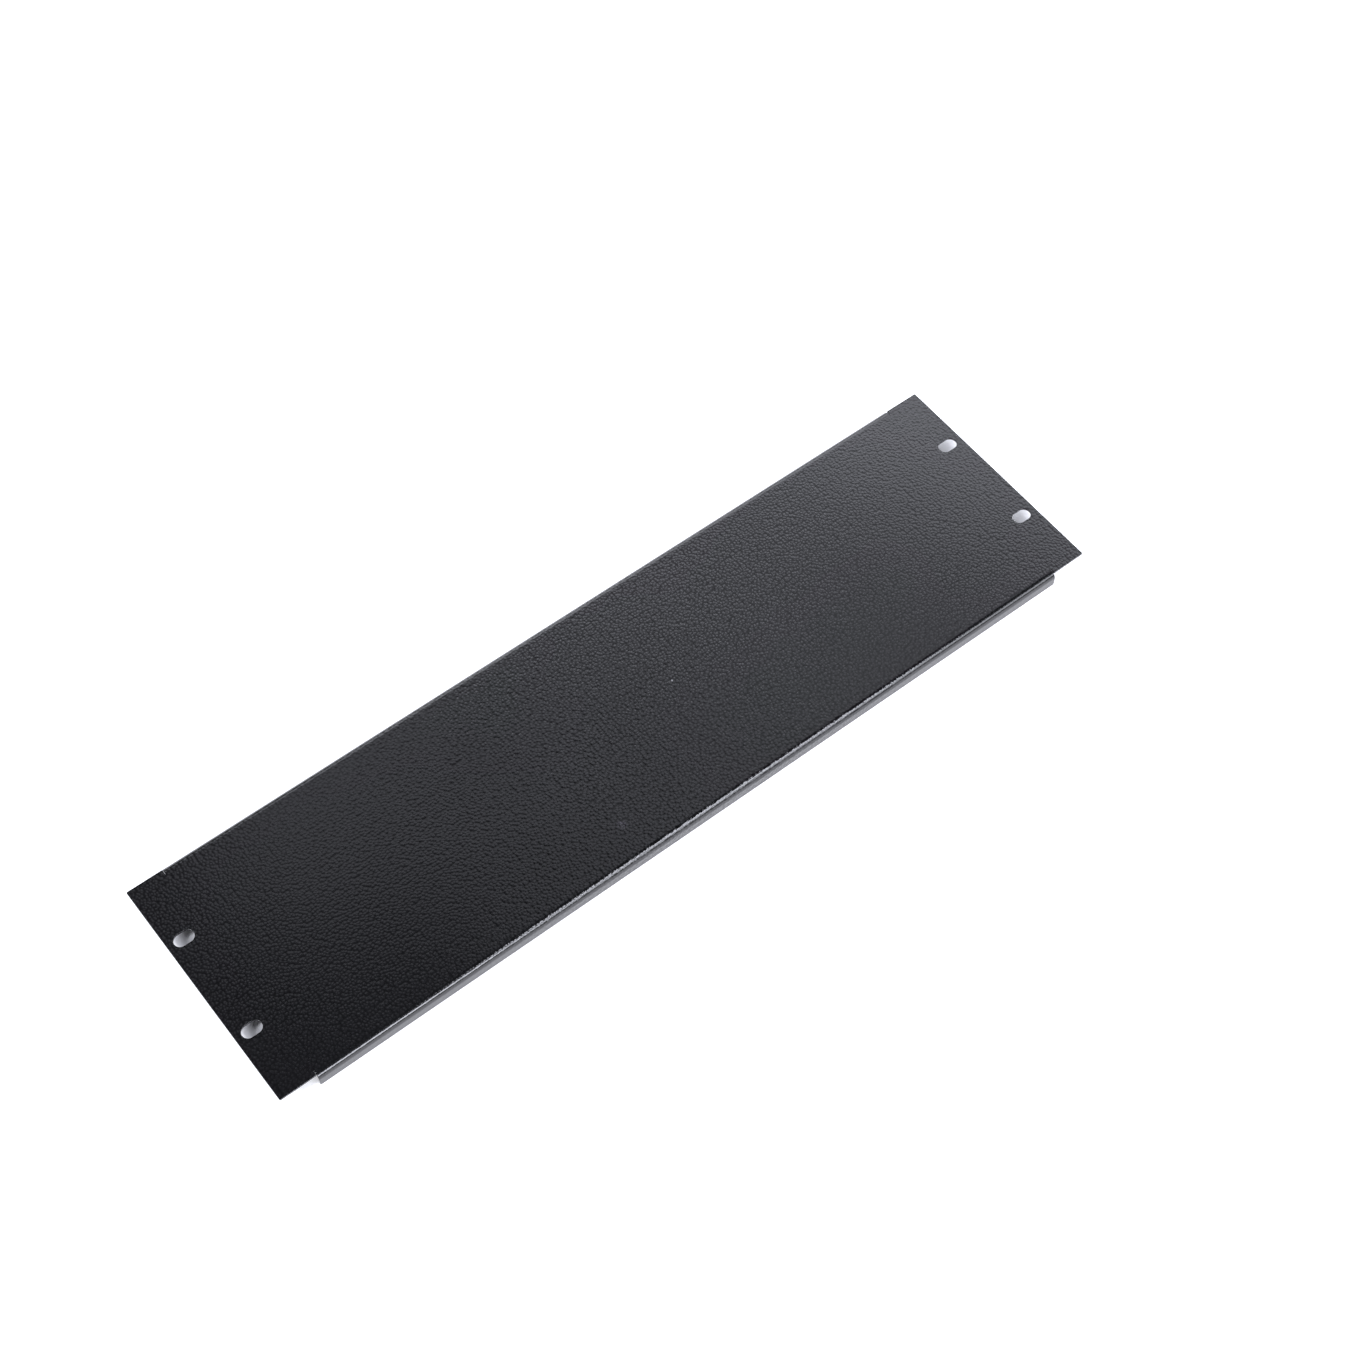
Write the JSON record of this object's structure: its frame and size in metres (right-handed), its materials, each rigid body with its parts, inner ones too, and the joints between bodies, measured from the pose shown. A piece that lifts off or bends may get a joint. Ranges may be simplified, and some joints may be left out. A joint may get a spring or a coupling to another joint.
{
  "type": "rack blanking panel",
  "caption": "Flat folded steel blanking panel for a 19-inch rack, with two return flanges, slotted ears and black textured powder coat.",
  "frame": {"origin": "centre of the bounding box's base: midway between the two flanges, level with their free edges", "axes": "+X along the panel's length across the rack, +Y across its height towards its upper edge, +Z out of the front face"},
  "size_m": [0.4826, 0.1324, 0.0088],
  "materials": {
    "black_powder_coat": "black powder coat with a fine leather grain, satin, on both sides and all edges"
  },
  "bodies": {
    "root": {"blanking_panel": "black_powder_coat"}
  },
  "joints": []
}
